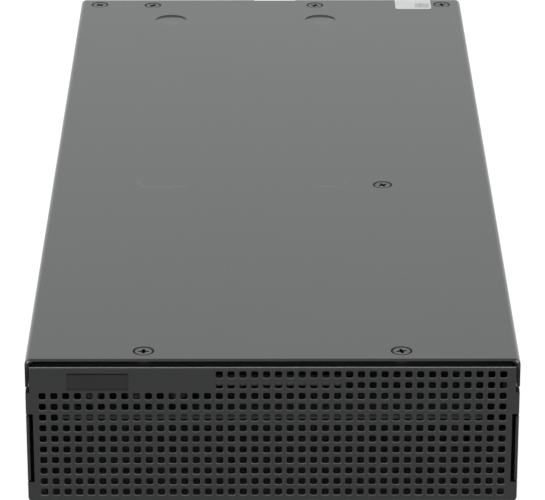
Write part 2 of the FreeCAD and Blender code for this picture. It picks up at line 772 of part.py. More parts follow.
def board_screws():
    screws = []
    for x, y in POSTS:
        head = rod("Z", x, y, BOARD_TOP, "head_radius", "1.8")
        shank = rod("Z", x, y, less("board_level", "5"), "thread_radius", "board_thick + 6")
        screws.append(join("board_screw", [head, shank]))
    return group("board_screws", screws)


def board_capacitors():
    first = plus(FRONT, "board_set + 9")
    places = [("%s - %d" % (BAY, 13 + 12 * i), first) for i in range(3)]
    places += [("%s + %d" % (BAY, 45 + 13 * i), less(BOARD_EDGE, "28")) for i in range(2)]
    return group("board_capacitors", [rod("Z", x, y, BOARD_TOP, "5", "13.5") for x, y in places])


def bus_bars():
    bars = []
    for i in range(2):
        y = less(BOARD_EDGE, "%d" % (14 + 9 * i))
        bars.append(block(less(BAY, "17"), plus(BAY, "44"), y, plus(y, "5"), BOARD_TOP, plus(BOARD_TOP, "2")))
    return group("bus_bars", bars)


# Receptacle under the board's rear edge; its slot takes the module's contact tongue.
def psu_receptacle():
    wide = "(tongue_width / 2 + 3)"
    body = block(less(BAY, wide), plus(BAY, wide), less(DOCK, "17"), DOCK, less(TRAY_LOW, "4"), "board_level")
    slot = block(
        less(BAY, "(tongue_width / 2 + 0.5)"), plus(BAY, "(tongue_width / 2 + 0.5)"),
        less(PSU_FRONT, "tongue_reach + 1"), plus(DOCK, "1"), less(TRAY_LOW, "0.4"), plus(TRAY_TOP, "0.4"),
    )
    return cut("psu_receptacle", body, [slot])


def output_socket(name, level):
    low, high = SOCKET_Z[level]
    face = plus(REAR, "0.5")
    body = block(SOCKET_L, SOCKET_R, less(REAR, "socket_depth"), face, low, high)
    cavity = block(
        plus(SOCKET_L, "socket_wall"), less(SOCKET_R, "socket_wall"), less(REAR, "13.5"), plus(face, "1"),
        plus(low, "socket_wall"), less(high, "socket_wall"),
    )
    return cut(name, body, [cavity])


def output_pins():
    pins = []
    for low, high in SOCKET_Z:
        for i in range(7):
            for j in range(2):
                x = "((%s + %s) / 2 + %d * pin_pitch)" % (SOCKET_L, SOCKET_R, i - 3)
                z = "((%s + %s) / 2 + %s * pin_pitch)" % (low, high, j - 0.5)
                half = "pin_side / 2"
                pins.append(block(
                    less(x, half), plus(x, half), less(REAR, "13.5"), less(REAR, "5"), less(z, half), plus(z, half),
                ))
    return group("output_pins", pins)


# Supply module: folded case open at its top and rear, flat lid, and a face plate for the rear.
def psu_case():
    body = doc.addObject("PartDesign::Body", "psu_shell")
    end = less(PSU_REAR, "gauge")
    base = pad(body, outline(body, "XY_Plane", PSU_LOW, rectangle(PSU_L, PSU_R, PSU_FRONT, end)),
               "%s - gauge - %s" % (PSU_TOP, PSU_LOW))
    hollow = body.newObject("PartDesign::Thickness", "hollow")
    faces = base.Shape.Faces
    hollow.Base = (base, ["Face%d" % (i + 1) for i, face in enumerate(faces)
                          if facing(face, "Z", less(PSU_TOP, "gauge")) or facing(face, "Y", end)])
    bind(hollow, "Value", "gauge")
    hollow.Reversed = True
    hollow.Join = "Intersection"
    doc.recompute()
    ears = []
    tools = []
    for x, y in PSU_SCREWS:
        ears.append(block(less(x, "3.1"), plus(x, "3.1"), less(y, "3.1"), plus(y, "3.1"),
                          less(PSU_TOP, "2 * gauge"), less(PSU_TOP, "gauge")))
        tools.append(rod("Z", x, y, less(PSU_TOP, "5"), "1.0", "8"))
    solid = join("psu_solid", [body] + ears)
    # Window for the latch nose, slot for the contact tongue and three air openings at the inner end.
    tools.append(block(plus(PIVOT_X, "3.0"), plus(PSU_R, "1"), plus(PIVOT_Y, "23.5"), plus(PIVOT_Y, "32.5"),
                       less(PSU_MID, "latch_tall / 2 + 0.5"), plus(PSU_MID, "latch_tall / 2 + 0.5")))
    tools.append(block(less(BAY, "tongue_width / 2 + 2"), plus(BAY, "tongue_width / 2 + 2"),
                       less(PSU_FRONT, "1"), plus(PSU_FRONT, "2"), less(TRAY_LOW, "5"), plus(TRAY_TOP, "8")))
    for i in range(3):
        x = "(%s + %d)" % (BAY, 14 * (i - 1))
        tools.append(block(less(x, "5.5"), plus(x, "5.5"), less(PSU_FRONT, "1"), plus(PSU_FRONT, "2"),
                           less(PSU_TOP, "14"), less(PSU_TOP, "4")))
    return cut("psu_case", solid, tools)


def psu_face():
    plate = block(PSU_L, PSU_R, less(PSU_REAR, "gauge"), PSU_REAR, PSU_LOW, PSU_TOP)
    out = plus(PSU_REAR, "1")
    deep = less(PSU_REAR, "2")
    tools = []
    tools.append(block(less(INLET_X, "inlet_wide / 2 + 2"), plus(INLET_X, "inlet_wide / 2 + 2"), deep, out,
                       less(PSU_MID, "inlet_tall / 2 + 2"), plus(PSU_MID, "inlet_tall / 2 + 2")))
    tools.append(block(plus(PIVOT_X, "-4.4"), plus(PIVOT_X, "3.2"), deep, out,
                       less(PSU_MID, "latch_tall / 2 + 0.5"), plus(PSU_MID, "latch_tall / 2 + 0.5")))
    for i in range(4):
        for j in range(8):
            x = "(%s + 3 + %d * hole_pitch)" % (GRIP_X, i)
            z = "(%s + %s * hole_pitch)" % (PSU_MID, j - 3.5)
            half = "hole_side / 2"
            tools.append(block(less(x, half), plus(x, half), deep, out, less(z, half), plus(z, half)))
    tools.append(rod("Y", PSU_LENS[0], deep, PSU_LENS[1], "1.5", "5"))
    return cut("psu_face", plate, tools)


PSU_SCREWS = [(x, y) for x in (plus(PSU_L, "gauge + 3"), less(PSU_R, "gauge + 3"))
              for y in (plus(PSU_FRONT, "gauge + 3"), less(PSU_REAR, "gauge + 4"))]
PSU_LENS = ("(-bay_offset + psu_width / 2 - 6)", less(PSU_TOP, "5.4"))


def psu_lid():
    plate = block(PSU_L, PSU_R, PSU_FRONT, less(PSU_REAR, "gauge"), less(PSU_TOP, "gauge"), PSU_TOP)
    tools = [taper(x, y, less(PSU_TOP, "gauge + 0.2"), "1.0", "2.2", "1.2") for x, y in PSU_SCREWS]
    return cut("psu_lid", plate, tools)


def psu_screws():
    screws = []
    for x, y in PSU_SCREWS:
        head = taper(x, y, less(PSU_TOP, "gauge"), "1.0", "1.8", "gauge")
        shank = rod("Z", x, y, less(PSU_TOP, "4"), "1.0", "4 - gauge")
        screws.append(cut("psu_screw", join("psu_screw_blank", [head, shank]), [cross(x, y, PSU_TOP, 20, 0.6)]))
    return group("psu_screws", screws)


BOARD_BACK = less(PSU_REAR, "fan_set + 4")


def psu_board():
    side = "(psu_width / 2 - gauge - 0.5)"
    half = "(tongue_width / 2)"
    points = [
        (less(BAY, side), plus(PSU_FRONT, "gauge + 0.6")), (less(BAY, half), plus(PSU_FRONT, "gauge + 0.6")),
        (less(BAY, half), less(PSU_FRONT, "tongue_reach")), (plus(BAY, half), less(PSU_FRONT, "tongue_reach")),
        (plus(BAY, half), plus(PSU_FRONT, "gauge + 0.6")), (plus(BAY, side), plus(PSU_FRONT, "gauge + 0.6")),
        (plus(BAY, side), BOARD_BACK), (less(BAY, side), BOARD_BACK),
    ]
    return prism("psu_board", "XY_Plane", TRAY_LOW, "psu_board_thick", points)


def psu_board_posts():
    posts = []
    for x in (plus(PSU_L, "5"), less(PSU_R, "5")):
        for y in (plus(PSU_FRONT, "6"), less(BOARD_BACK, "5")):
            post = doc.addObject("Part::Prism", "module_post")
            post.Polygon = 6
            bind(post, "Circumradius", "2.6")
            bind(post, "Height", "psu_board_rise - gauge")
            posts.append(put(post, x, y, plus(PSU_LOW, "gauge")))
    return group("psu_board_posts", posts)


def transformer():
    # Ferrite core in two halves round a wound bobbin.
    y = plus(PSU_FRONT, "52")
    bobbin = block(less(BAY, "9"), plus(BAY, "9"), less(y, "14"), plus(y, "14"), plus(TRAY_TOP, "2"),
                   plus(TRAY_TOP, "18"))
    core = block(less(BAY, "14"), plus(BAY, "14"), less(y, "10"), plus(y, "10"), TRAY_TOP, plus(TRAY_TOP, "21"))
    return join("psu_transformer", [bobbin, core])


def bulk_capacitors():
    places = [(x, plus(PSU_FRONT, "104")) for x in (less(BAY, "11.5"), plus(BAY, "11.5"))]
    return group("psu_capacitors", [rod("Z", x, y, TRAY_TOP, "11", "23") for x, y in places])


def heat_sinks():
    sinks = []
    for side in SIDES:
        inner = "%s %s 16.5" % (BAY, "+" if side > 0 else "-")
        low, high = ("(%s)" % inner, "(%s + 5.5)" % inner) if side > 0 else ("(%s - 5.5)" % inner, "(%s)" % inner)
        start = plus(PSU_FRONT, "30")
        base = block(low if side < 0 else less(high, "1.6"), plus(low, "1.6") if side < 0 else high,
                     start, plus(start, "44"), TRAY_TOP, plus(TRAY_TOP, "22"))
        fins = [block(low, high, plus(start, "%d" % (7 * i)), plus(start, "%d + 2" % (7 * i)), TRAY_TOP,
                      plus(TRAY_TOP, "22")) for i in range(7)]
        sinks.append(join("heat_sink", [base] + fins))
    return group("psu_heat_sinks", sinks)


# Mains inlet set upright in the rear face: flange outside, chamfered cavity, three flat pins.
def ac_inlet():
    flange = block(less(INLET_X, "inlet_wide / 2 + 3"), plus(INLET_X, "inlet_wide / 2 + 3"), PSU_REAR,
                   plus(PSU_REAR, "2"), less(PSU_MID, "inlet_tall / 2 + 3"), plus(PSU_MID, "inlet_tall / 2 + 3"))
    shell = block(less(INLET_X, "inlet_wide / 2 + 1.8"), plus(INLET_X, "inlet_wide / 2 + 1.8"),
                  less(PSU_REAR, "inlet_depth + 5"), plus(PSU_REAR, "1"),
                  less(PSU_MID, "inlet_tall / 2 + 1.8"), plus(PSU_MID, "inlet_tall / 2 + 1.8"))
    left = less(INLET_X, "inlet_wide / 2")
    right = plus(INLET_X, "inlet_wide / 2")
    low = less(PSU_MID, "inlet_tall / 2")
    high = plus(PSU_MID, "inlet_tall / 2")
    cavity = prism(
        "inlet_cavity", "XZ_Plane", minus(plus(PSU_REAR, "3")), "inlet_depth + 3",
        [(left, low), (less(right, "4.6"), low), (right, plus(low, "4.6")), (right, less(high, "4.6")),
         (less(right, "4.6"), high), (left, high)],
    )
    return cut("ac_inlet", join("inlet_solid", [flange, shell]), [cavity])


def inlet_pins():
    pins = []
    for x, z in ((-2.0, -7.0), (-2.0, 7.0), (2.0, 0.0)):
        cx = "(%s + %s)" % (INLET_X, x)
        cz = "(%s + %s)" % (PSU_MID, z)
        pins.append(block(less(cx, "2"), plus(cx, "2"), less(PSU_REAR, "inlet_depth"), less(PSU_REAR, "1.5"),
                          less(cz, "1"), plus(cz, "1")))
    return group("inlet_pins", pins)


# Axial fan behind the inlet: square frame on the floor of the module, spider at its rear, rotor inside.
FAN_FRONT = less(PSU_REAR, "fan_set")
FAN_MID = "(gauge + floor_gap + gauge + fan_size / 2)"


def fan_frame():
    half = "(fan_size / 2)"
    frame = block(less(FAN_X, half), plus(FAN_X, half), FAN_FRONT, plus(FAN_FRONT, "fan_depth"),
                  less(FAN_MID, half), plus(FAN_MID, half))
    bore = rod("Y", FAN_X, less(FAN_FRONT, "1"), FAN_MID, "fan_size / 2 - 0.9", "fan_depth + 2")
    ring = cut("fan_ring", frame, [bore])
    back = plus(FAN_FRONT, "fan_depth - 2")
    hub = rod("Y", FAN_X, back, FAN_MID, "fan_size / 4", "2")
    flat = block(less(FAN_X, "fan_size / 2 - 0.2"), plus(FAN_X, "fan_size / 2 - 0.2"), back, plus(back, "2"),
                 less(FAN_MID, "1"), plus(FAN_MID, "1"))
    tall = block(less(FAN_X, "1"), plus(FAN_X, "1"), back, plus(back, "2"),
                 less(FAN_MID, "fan_size / 2 - 0.2"), plus(FAN_MID, "fan_size / 2 - 0.2"))
    socket = rod("Y", FAN_X, less(back, "1"), FAN_MID, "pivot_radius + pivot_gap", "4")
    return cut("fan_frame", join("fan_solid", [ring, hub, flat, tall]), [socket])


def fan_rotor():
    start = plus(FAN_FRONT, "2")
    hub = rod("Y", FAN_X, start, FAN_MID, "fan_size / 4", "fan_depth - 5")
    shaft = rod("Y", FAN_X, plus(start, "1"), FAN_MID, "pivot_radius", "fan_depth - 3.5")
    blades = []
    count = 7
    for i in range(count):
        blade = doc.addObject("Part::Box", "blade")
        bind(blade, "Length", "fan_size / 4 - 1.3")
        bind(blade, "Width", "fan_depth / 2")
        bind(blade, "Height", "0.9")
        spin = FreeCAD.Rotation(FreeCAD.Vector(0, 1, 0), 360.0 * i / count)
        pitch = FreeCAD.Rotation(FreeCAD.Vector(1, 0, 0), 38)
        turn = spin.multiply(pitch)
        blade.Placement = FreeCAD.Placement(FreeCAD.Vector(), turn)
        corner = {}
        for axis, vector in (("x", (1, 0, 0)), ("y", (0, 1, 0)), ("z", (0, 0, 1))):
            unit = FreeCAD.Vector(*vector)
            reach = unit.dot(turn.multVec(FreeCAD.Vector(1, 0, 0)))
            chord = unit.dot(turn.multVec(FreeCAD.Vector(0, 1, 0)))
            thick = unit.dot(turn.multVec(FreeCAD.Vector(0, 0, 1)))
            corner[axis] = "(%.6f * (fan_size / 4 - 0.5) - %.6f * fan_depth / 4 - %.6f * 0.45)" % (reach, chord, thick)
        middle = plus(FAN_FRONT, "2 + (fan_depth - 5) / 2")
        put(blade, plus(FAN_X, corner["x"]), plus(middle, corner["y"]), plus(FAN_MID, corner["z"]))
        blades.append(blade)
    return join("fan_rotor", [hub, shaft] + blades)


def psu_lens():
    return rod("Y", PSU_LENS[0], less(PSU_REAR, "5"), PSU_LENS[1], "1.5", "5.5", "psu_lens")


# Release latch: lever on an upright pin, its nose facing the catch window, its thumb tab at the rear.
def latch_pin():
    return rod("Z", PIVOT_X, PIVOT_Y, plus(PSU_LOW, "gauge"), "pivot_radius",
               "%s + latch_tall / 2 + 1.5 - %s - gauge" % (PSU_MID, PSU_LOW), "latch_pin")


def release_latch():
    low = less(PSU_MID, "latch_tall / 2")
    high = plus(PSU_MID, "latch_tall / 2")
    points = [
        (less(PIVOT_X, "1.2"), PIVOT_Y), (plus(PIVOT_X, "1.2"), PIVOT_Y),
        (plus(PIVOT_X, "1.2"), plus(PIVOT_Y, "24.5")), (plus(PSU_R, "0.2"), plus(PIVOT_Y, "29")),
        (plus(PSU_R, "0.2"), plus(PIVOT_Y, "31")), (plus(PIVOT_X, "0.6"), plus(PIVOT_Y, "31")),
        (plus(PIVOT_X, "0.6"), plus(PIVOT_Y, "40")), (plus(PIVOT_X, "1.6"), plus(PIVOT_Y, "52")),
        (less(PIVOT_X, "0.8"), plus(PIVOT_Y, "52")), (less(PIVOT_X, "1.4"), plus(PIVOT_Y, "40")),
        (less(PIVOT_X, "1.4"), plus(PIVOT_Y, "26")),
    ]
    arm = prism("latch_arm", "XY_Plane", low, "latch_tall", points)
    eye = rod("Z", PIVOT_X, PIVOT_Y, low, "pivot_radius + 1.4", "latch_tall")
    bore = rod("Z", PIVOT_X, PIVOT_Y, less(low, "1"), "pivot_radius + pivot_gap", "latch_tall + 2")
    return cut("release_latch", join("latch_solid", [arm, eye]), [bore])


# Folding pull handle on two ears.
HANDLE_LOW = less(PSU_MID, "12.7")
HANDLE_HIGH = plus(PSU_MID, "12.7")


def handle_ears():
    ears = []
    for side in SIDES:
        edge = plus(HANDLE_HIGH, "0.4") if side > 0 else less(HANDLE_LOW, "0.4")
        base = edge if side > 0 else less(edge, "3")
        ear = block(less(GRIP_X, "2.2"), plus(GRIP_X, "2.2"), PSU_REAR, plus(GRIP_Y, "2.2"), base, plus(base, "3"))
        stub = rod("Z", GRIP_X, GRIP_Y, less(edge, "handle_bar") if side > 0 else less(edge, "1"),
                   "pivot_radius", "handle_bar + 1")
        ears.append(join("handle_ear", [ear, stub]))
    return group("handle_ears", ears)


def pull_handle():
    half = "(handle_bar / 2)"
    near_y = less(GRIP_Y, half)
    far_y = plus(GRIP_Y, half)
    end = plus(GRIP_X, "handle_reach + handle_bar / 2")
    outer = block(GRIP_X, end, near_y, far_y, HANDLE_LOW, HANDLE_HIGH)
    inside = block(less(GRIP_X, "5"), less(end, "handle_bar"), less(near_y, "1"), plus(far_y, "1"),
                   plus(HANDLE_LOW, "handle_bar"), less(HANDLE_HIGH, "handle_bar"))
    bar = cut("handle_bow", outer, [inside])
    eyes = []
    bores = []
    for z in (HANDLE_LOW, less(HANDLE_HIGH, "handle_bar")):
        eyes.append(rod("Z", GRIP_X, GRIP_Y, z, "pivot_radius + 0.9", "handle_bar"))
        bores.append(rod("Z", GRIP_X, GRIP_Y, less(z, "1"), "pivot_radius + pivot_gap", "handle_bar + 2"))
    return cut("pull_handle", join("handle_solid", [bar] + eyes), bores)


NODES = [
    chassis_tray(), front_panel(), badge_plate(), stiffener(), front_spacers(), rear_panel(), top_cover(),
    cover_screws(), rear_sticker(), bay_wall(-1), bay_wall(1), bracket_nuts(), distribution_board(), board_posts(),
    board_screws(), board_capacitors(), bus_bars(), psu_receptacle(), output_socket("output_socket_lower", 0),
    output_socket("output_socket_upper", 1), output_pins(), earth_washer(), earth_screw(), status_lens(),
    psu_case(), psu_face(), psu_lid(), psu_screws(), psu_board(), psu_board_posts(), transformer(), bulk_capacitors(),
    heat_sinks(), ac_inlet(), inlet_pins(), fan_frame(), fan_rotor(), psu_lens(), latch_pin(), release_latch(),
    handle_ears(), pull_handle(),
]
doc.recompute()

for item in doc.Objects:
    if "Invalid" in item.State or "Error" in item.State:
        raise RuntimeError("not built: " + item.Label)

os.makedirs("parts", exist_ok=True)
for node in NODES:
    shape = node.Shape
    if shape.isNull() or not shape.isValid() or not shape.Solids:
        raise RuntimeError("bad shape: " + node.Label)
    shape.exportStep("parts/%s.step" % node.Label)
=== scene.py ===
import functools
import math

import bmesh
import bpy
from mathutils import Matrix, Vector


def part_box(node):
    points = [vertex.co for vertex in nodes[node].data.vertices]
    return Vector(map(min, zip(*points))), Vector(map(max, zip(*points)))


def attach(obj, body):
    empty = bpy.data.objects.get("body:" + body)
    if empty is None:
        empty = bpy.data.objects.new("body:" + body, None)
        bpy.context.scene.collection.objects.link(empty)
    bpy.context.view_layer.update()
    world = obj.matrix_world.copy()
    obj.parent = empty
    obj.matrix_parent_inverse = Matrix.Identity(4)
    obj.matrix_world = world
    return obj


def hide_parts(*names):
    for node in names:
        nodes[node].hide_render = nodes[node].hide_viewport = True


# Looks of a narrow power shelf: satin black powder coat, a plated module, a bare plate and a pale sticker.
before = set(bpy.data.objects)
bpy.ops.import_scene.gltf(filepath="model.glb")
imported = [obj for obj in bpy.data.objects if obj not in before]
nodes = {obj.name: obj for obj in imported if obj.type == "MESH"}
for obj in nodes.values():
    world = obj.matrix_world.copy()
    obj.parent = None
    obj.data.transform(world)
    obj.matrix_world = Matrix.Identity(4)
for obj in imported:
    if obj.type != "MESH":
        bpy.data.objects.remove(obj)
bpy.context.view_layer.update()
cover_low, cover_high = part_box("top_cover")
panel_low, panel_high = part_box("front_panel")
mm = 0.001
SHEET = 0.8 * mm


# Node tree helpers

EVEN = (1.0, 1.0, 1.0)
# Factors that leave what is seen from above, and what is seen from the front.
FROM_ABOVE = (1.0, 1.0, 0.0)
FROM_FRONT = (1.0, 0.0, 1.0)
# Levels between which most of a noise lies.
NOISE_LOW = 0.3
NOISE_HIGH = 0.7
# Numbers of a vector node's scale socket and of a mix node's colour sockets.
SCALE_SOCKET = 3
FIRST_COLOUR_SOCKET = 6
SECOND_COLOUR_SOCKET = 7
MIXED_COLOUR_SOCKET = 2


def tone(value):
    """Opaque colour, from one level of grey or from levels of red, green and blue."""
    red, green, blue = value if isinstance(value, tuple) else (value, value, value)
    return (red, green, blue, 1.0)


class Paint:
    """One procedural material and the few kinds of nodes that the finishes are made of."""

    def __init__(self, name):
        self.material = bpy.data.materials.new(name)
        self.material.use_nodes = True
        self.tree = self.material.node_tree
        self.shader = next(n for n in self.tree.nodes if n.type == "BSDF_PRINCIPLED")
        self.place = self.tree.nodes.new("ShaderNodeTexCoord").outputs["Object"]

    def link(self, source, socket):
        """Feed a socket from another one, or give it a fixed value."""
        if hasattr(source, "node"):
            self.tree.links.new(source, socket)
        else:
            socket.default_value = source

    def math(self, operation, first, second=0.0):
        node = self.tree.nodes.new("ShaderNodeMath")
        node.operation = operation
        self.link(first, node.inputs[0])
        self.link(second, node.inputs[1])
        return node.outputs[0]

    def product(self, *values):
        """All the values multiplied: 1 only where each of them is 1."""
        return functools.reduce(functools.partial(self.math, "MULTIPLY"), values)

    def largest(self, *values):
        return functools.reduce(functools.partial(self.math, "MAXIMUM"), values)

    def opposite(self, value):
        return self.math("SUBTRACT", 1.0, value)

    def vector(self, operation, first, second=(0.0, 0.0, 0.0), scale=1.0, output="Vector"):
        node = self.tree.nodes.new("ShaderNodeVectorMath")
        node.operation = operation
        self.link(first, node.inputs[0])
        self.link(second, node.inputs[1])
        self.link(scale, node.inputs[SCALE_SOCKET])
        return node.outputs[output]

    def noise(self, size, detail=2.0, stretch=EVEN):
        """Noise whose grains are about `size` metres wide."""
        node = self.tree.nodes.new("ShaderNodeTexNoise")
        self.link(self.vector("MULTIPLY", self.place, stretch), node.inputs["Vector"])
        node.inputs["Scale"].default_value = 1.0 / size
        node.inputs["Detail"].default_value = detail
        return node.outputs["Fac"]

    def spread(self, value, low, high, start=NOISE_LOW, end=NOISE_HIGH):
        """Value from start..end carried to low..high."""
        node = self.tree.nodes.new("ShaderNodeMapRange")
        self.link(value, node.inputs["Value"])
        for name, number in (("From Min", start), ("From Max", end), ("To Min", low), ("To Max", high)):
            node.inputs[name].default_value = number
        return node.outputs[0]

    def rising(self, value, start, end):
        """0 where the value is below the start, 1 where it is above the end."""
        return self.spread(value, 0.0, 1.0, start, end)

    def falling(self, value, start, end):
        """1 where the value is below the start, 0 where it is above the end."""
        return self.spread(value, 1.0, 0.0, start, end)

    def band(self, value, low, high, soft):
        """1 between low and high, with soft edges."""
        rise = self.rising(value, low - soft, low + soft)
        fall = self.falling(value, high - soft, high + soft)
        return self.product(rise, fall)

    def mix(self, amount, first, second):
        """First tone where the amount is 0, second tone where it is 1."""
        node = self.tree.nodes.new("ShaderNodeMix")
        node.data_type = "RGBA"
        self.link(amount, node.inputs[0])
        for value, socket in ((first, FIRST_COLOUR_SOCKET), (second, SECOND_COLOUR_SOCKET)):
            self.link(value if hasattr(value, "node") else tone(value), node.inputs[socket])
        return node.outputs[MIXED_COLOUR_SOCKET]

    def axis(self, index, source=None):
        node = self.tree.nodes.new("ShaderNodeSeparateXYZ")
        self.link(source or self.place, node.inputs[0])
        return node.outputs[index]

    def facing(self, way):
        """How far the surface faces along X, Y or Z: 1 straight along it, -1 straight against it."""
        return self.axis("XYZ".index(way), self.place.node.outputs["Normal"])

    def bump(self, height, depth, strength=1.0):
        node = self.tree.nodes.new("ShaderNodeBump")
        self.link(height, node.inputs["Height"])
        node.inputs["Distance"].default_value = depth
        node.inputs["Strength"].default_value = strength
        self.link(node.outputs[0], self.shader.inputs["Normal"])

    def set(self, **values):
        for name, value in values.items():
            self.link(value, self.shader.inputs[name.replace("_", " ")])

    def tint(self, amount, over):
        """Lay another tone over the one that the surface has so far."""
        so_far = self.shader.inputs["Base Color"].links[0].from_socket
        self.set(Base_Color=self.mix(amount, so_far, over))


# Finish in two close tones

TONE_DETAIL = 3.0
GLOSS_CHANGE = 0.03
# Depths of the grain in smooth and in moulded surfaces.
FINE_GRAIN = 0.01 * mm
MOULDED_GRAIN = 0.02 * mm
# Factors that draw a noise out along the depth, as on rolled sheet and on extrusions.
ROLLED = (1.0, 0.12, 1.0)
EXTRUDED = (1.0, 0.1, 1.0)


def two_tone(name, dark, light, size, rough, metal=0.0, grain=0.0, grain_size=0.5 * mm, stretch=EVEN):
    """Finish with a slow change of tone and gloss, and an optional fine grain in the surface."""
    paint = Paint(name)
    slow = paint.noise(size, TONE_DETAIL, stretch)
    paint.set(
        Base_Color=paint.mix(paint.spread(slow, 0.0, 1.0), dark, light),
        Roughness=paint.spread(slow, rough - GLOSS_CHANGE, rough + GLOSS_CHANGE),
        Metallic=metal,
    )
    if grain:
        paint.bump(paint.noise(grain_size, stretch=stretch), grain)
    return paint


# Powder coat and bare plating of the sheets

# The cover's top is painted lighter than the coat's own tone, CASE_TONE, as painted sheen; its bends and
# sides are tinted back to CASE_TONE.
COVER_SHEEN_TONE = (0.0475, 0.0545, 0.0533)
COVER_GLOSS = 0.5
CASE_TONE = (0.0235, 0.025, 0.0247)
CASE_GLOSS = 0.36
# Painted shade: the tone painted where hollows hold no light.
PAINTED_SHADE = 0.004
CLOUD_SIZE = 45.0 * mm
CLOUD_DETAIL = 4.0
CLOUD_DARK = 0.94
CLOUD_LIGHT = 1.06
COAT_SMOOTH = 0.22
COAT_ROUGH = 0.27
COAT_GRAIN = 0.6 * mm
COAT_GRAIN_DEPTH = 0.02 * mm
COAT_GRAIN_STRENGTH = 0.5
# The plating is darker behind the grille and lighter further back, with faint stains.
PLATE_NEAR_FRONT = 0.24
PLATE_FURTHER_BACK = 0.6
PLATE_CHANGE_START = 10.0 * mm
PLATE_CHANGE_END = 50.0 * mm
STAIN_TONE = 0.1
STAIN_SIZE = 12.0 * mm
STAIN_MOST = 0.25


def coat(name, middle, gloss):
    """Satin black powder coat: fine grain and slight clouding around a middle tone."""
    paint = Paint(name)
    cloud = paint.noise(CLOUD_SIZE, CLOUD_DETAIL)
    dark, light = (tuple(share * level for level in middle) for share in (CLOUD_DARK, CLOUD_LIGHT))
    paint.set(
        Base_Color=paint.mix(paint.spread(cloud, 0.0, 1.0), dark, light),
        Roughness=paint.spread(cloud, COAT_SMOOTH, COAT_ROUGH),
        Specular_IOR_Level=gloss,
    )
    paint.bump(paint.noise(COAT_GRAIN), COAT_GRAIN_DEPTH, COAT_GRAIN_STRENGTH)
    return paint


def plated(paint):
    """Tone of the plating where the sheet is bare."""
    further_back = paint.rising(paint.axis(1), cover_low.y + PLATE_CHANGE_START, cover_low.y + PLATE_CHANGE_END)
    stains = paint.spread(paint.noise(STAIN_SIZE, TONE_DETAIL), 0.0, STAIN_MOST)
    return paint.mix(stains, paint.mix(further_back, PLATE_NEAR_FRONT, PLATE_FURTHER_BACK), STAIN_TONE)


# Cover: rubbed on top, painted lighter there as painted sheen, with painted highlights at the front corners,
# bare underneath

# Pale rubs, as x and distance from the front edge, in millimetres.
RUBS = (
    ((-41.6, 135.5), (-41.1, 132.5)),
    ((-41.1, 132.5), (-39.6, 129.5)),
    ((-39.6, 129.5), (-32.1, 129.5)),
    ((-32.1, 129.5), (-26.3, 130.7)),
    ((13.9, 130.5), (21.2, 129.3)),
    ((22.7, 131.9), (22.7, 134.5)),
)
RUB_TONE = 0.5
RUB_AMOUNT = 0.035
RUB_CORE = 0.27 * mm
RUB_WIDTH = 0.9 * mm
# How far faces turn: the bends to the sides, the front edge and the underside.
SIDE_TURN = (0.1, 0.8)
FRONT_TURN = (-0.9, -0.6)
UNDER_TURN = (-0.95, -0.9)
# How far faces rise: the walls and floors of the pressings, and the seats of the screws.
WALL_RISE = (0.2, 0.4)
FLOOR_RISE = (0.86, 0.9)
SEAT_RISE = (0.4, 0.85)
SEAT_SOFT = 0.02
SIDE_BEND = 1.5 * SHEET
# Depths below the top at which the top ends and the skirts begin.
TOP_DEPTH = 2 * SHEET
SKIRT_DEPTH = 5 * SHEET
EDGE_TONE = 0.019
SKIRT_END_TONE = 0.009
# Painted highlights: bright glints where the front edge turns at both corners.
GLINT_TONE = 0.45
GLINT_INSET = 1.3 * SHEET
GLINT_CORE = 0.3 * mm
GLINT_REACH = 0.6 * mm
# Depths at which the floor of a pressing starts and is fully reached.
PRESSED_START = 0.02 * mm
PRESSED_DEPTH = 0.06 * mm
# Painted light on the upright walls of the pressings.
PRESSED_WALL_LIGHT = 0.12
PRESSED_WALL_SOFT = 0.1 * mm
PRESSED_DULLNESS = 0.5
DULL_GLOSS = 0.18


def on_cover(x, depth):
    return Vector((x * mm, cover_low.y + depth * mm, 0.0))


def stroke(paint, start, end):
    """1 along a thin rub between two points of the cover's plane, fading to its sides."""
    along = end - start
    flat = paint.vector("MULTIPLY", paint.place, FROM_ABOVE)
    offset = paint.vector("SUBTRACT", flat, tuple(start))
    share = paint.vector("DOT_PRODUCT", offset, tuple(along / along.length_squared), output="Value")
    share = paint.math("MINIMUM", paint.math("MAXIMUM", share, 0.0), 1.0)
    foot = paint.vector("SCALE", tuple(along), scale=share)
    distance = paint.vector("LENGTH", paint.vector("SUBTRACT", offset, foot), output="Value")
    return paint.falling(distance, RUB_CORE, RUB_WIDTH)


def upper_part(paint):
    """1 at the cover's top, 0 down its skirts."""
    return paint.rising(paint.axis(2), cover_high.z - SKIRT_DEPTH, cover_high.z - TOP_DEPTH)


def front_edge_and_glints(paint):
    """Dark front edge with a painted highlight at both corners. Returns where its skirts end."""
    near = paint.math("LESS_THAN", paint.axis(1), cover_low.y + SHEET)
    edge = paint.product(paint.falling(paint.facing("Y"), *FRONT_TURN), near)
    upper = upper_part(paint)
    paint.tint(edge, paint.mix(upper, SKIRT_END_TONE, EDGE_TONE))
    folded = paint.vector("MULTIPLY", paint.vector("ABSOLUTE", paint.place), FROM_FRONT)
    corner = (cover_high.x - GLINT_INSET, 0.0, cover_high.z - GLINT_INSET)
    reach = paint.vector("DISTANCE", folded, corner, output="Value")
    # Painted highlight: a bright glint at both corners of the front edge.
    paint.tint(paint.product(edge, paint.falling(reach, GLINT_CORE, GLINT_REACH)), GLINT_TONE)
    return paint.product(edge, paint.opposite(upper))


